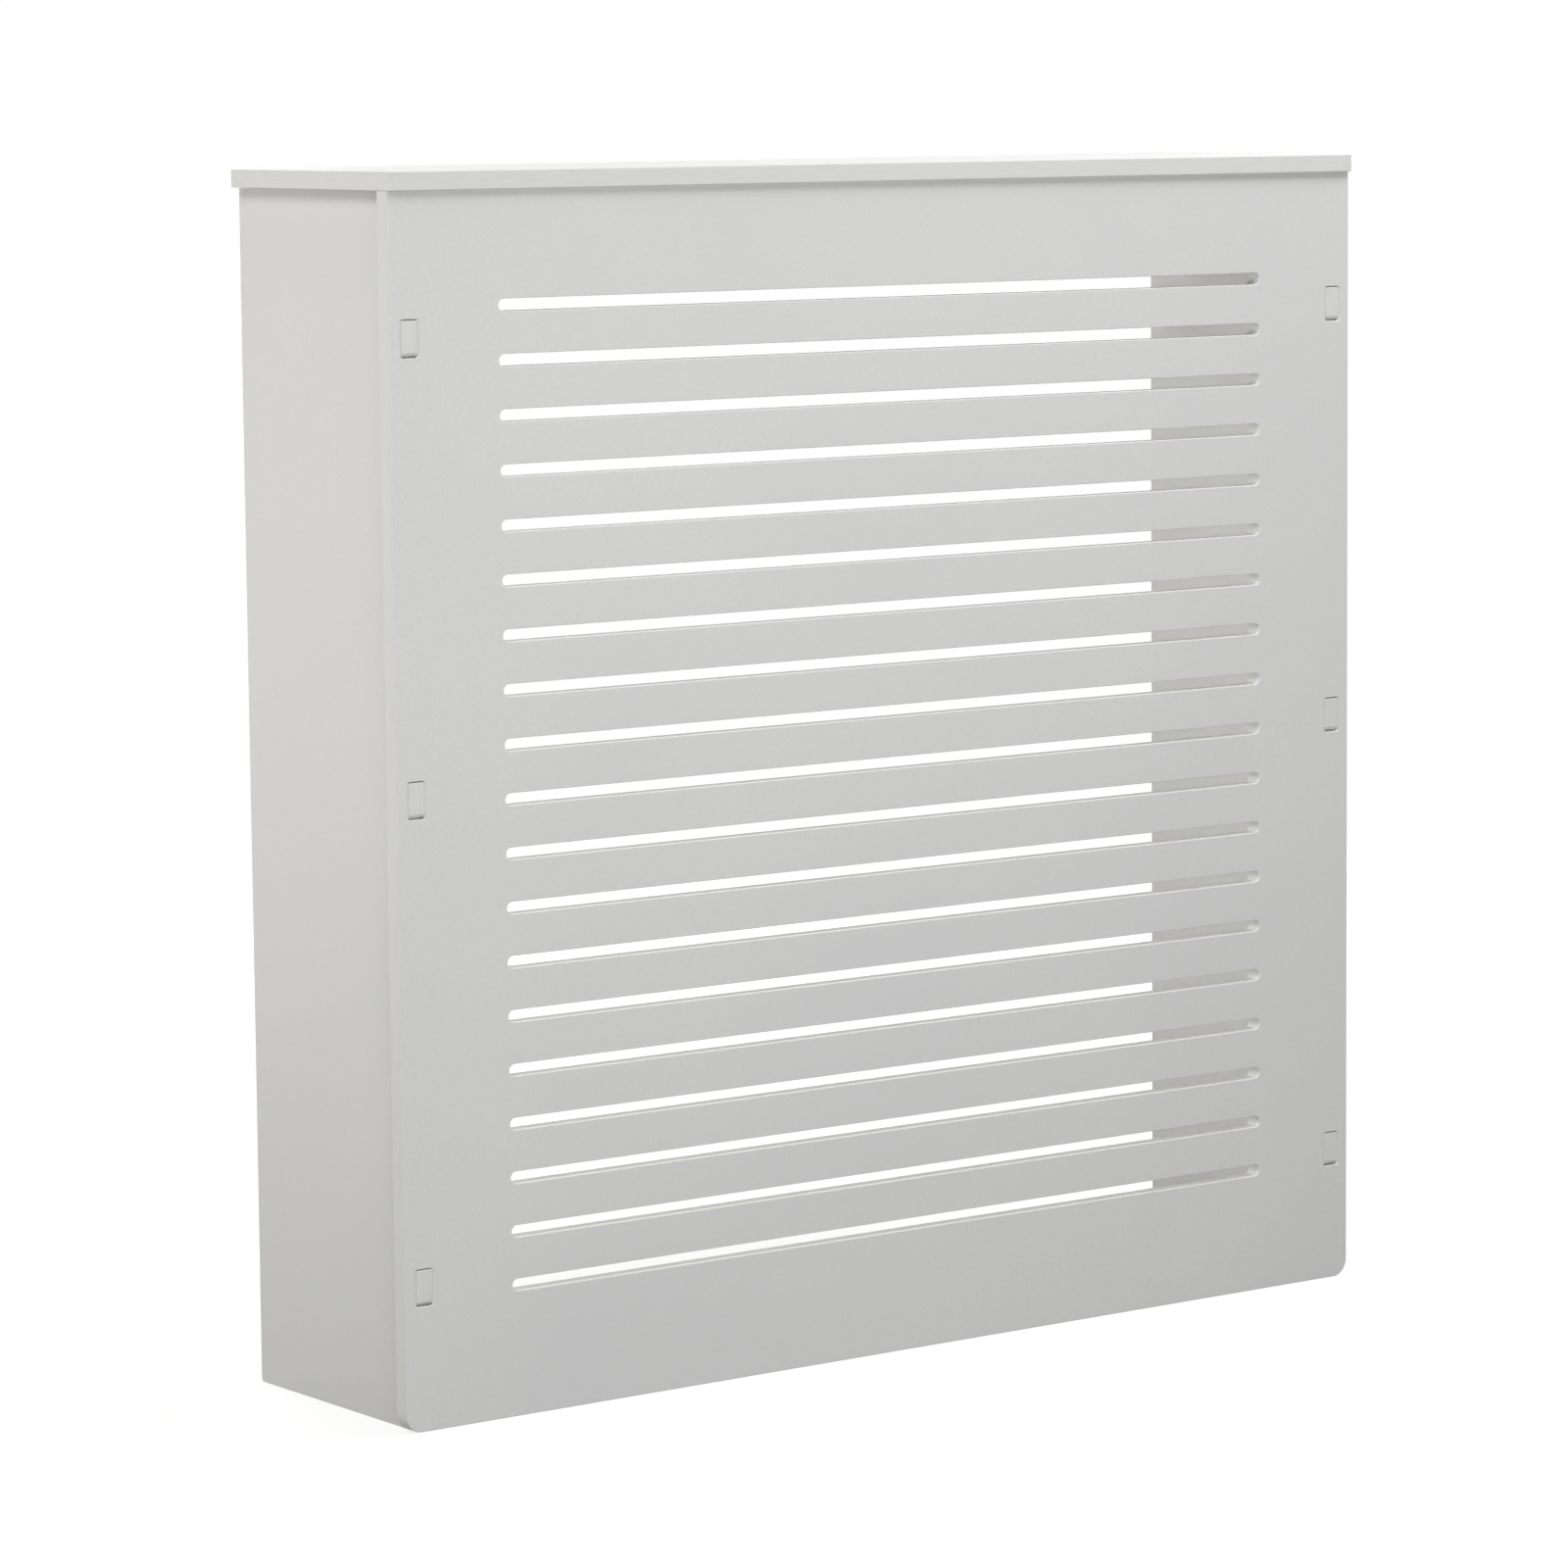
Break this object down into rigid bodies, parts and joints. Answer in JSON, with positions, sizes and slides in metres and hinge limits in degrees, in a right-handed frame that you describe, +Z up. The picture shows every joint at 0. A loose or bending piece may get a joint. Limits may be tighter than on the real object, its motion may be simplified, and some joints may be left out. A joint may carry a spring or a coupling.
{
  "type": "radiator cover cabinet",
  "caption": "Flat-board radiator cover with a slotted front, through-tenoned sides, a plain shelf and an open back and bottom.",
  "frame": {"origin": "middle of the footprint's box, on the floor", "axes": "+Z up, +X along the width, +Y towards the wall, so the slotted front faces -Y"},
  "size_m": [0.797, 0.196, 0.801],
  "materials": {
    "white_paint": "satin white paint on fibreboard",
    "bracket_steel": "bright zinc plate",
    "screw_steel": "bright zinc plate",
    "beech": "bare beech"
  },
  "bodies": {
    "root": {"top_shelf": "white_paint", "front_panel": "white_paint", "left_side_panel": "white_paint", "right_side_panel": "white_paint", "rear_rail": "white_paint", "left_rail_dowel_lower": "beech", "left_rail_dowel_upper": "beech", "right_rail_dowel_lower": "beech", "right_rail_dowel_upper": "beech", "left_side_front_bracket": "bracket_steel", "left_side_front_bracket_screw_shelf": "screw_steel", "left_side_front_bracket_screw_board": "screw_steel", "left_side_rear_bracket": "bracket_steel", "left_side_rear_bracket_screw_shelf": "screw_steel", "left_side_rear_bracket_screw_board": "screw_steel", "right_side_front_bracket": "bracket_steel", "right_side_front_bracket_screw_shelf": "screw_steel", "right_side_front_bracket_screw_board": "screw_steel", "right_side_rear_bracket": "bracket_steel", "right_side_rear_bracket_screw_shelf": "screw_steel", "right_side_rear_bracket_screw_board": "screw_steel", "left_front_panel_bracket": "bracket_steel", "left_front_panel_bracket_screw_shelf": "screw_steel", "left_front_panel_bracket_screw_board": "screw_steel", "right_front_panel_bracket": "bracket_steel", "right_front_panel_bracket_screw_shelf": "screw_steel", "right_front_panel_bracket_screw_board": "screw_steel", "left_rail_bracket": "bracket_steel", "left_rail_bracket_screw_shelf": "screw_steel", "left_rail_bracket_screw_board": "screw_steel", "right_rail_bracket": "bracket_steel", "right_rail_bracket_screw_shelf": "screw_steel", "right_rail_bracket_screw_board": "screw_steel", "left_wall_bracket": "bracket_steel", "left_wall_bracket_screw_board_1": "screw_steel", "left_wall_bracket_screw_board_2": "screw_steel", "right_wall_bracket": "bracket_steel", "right_wall_bracket_screw_board_1": "screw_steel", "right_wall_bracket_screw_board_2": "screw_steel"}
  },
  "joints": []
}
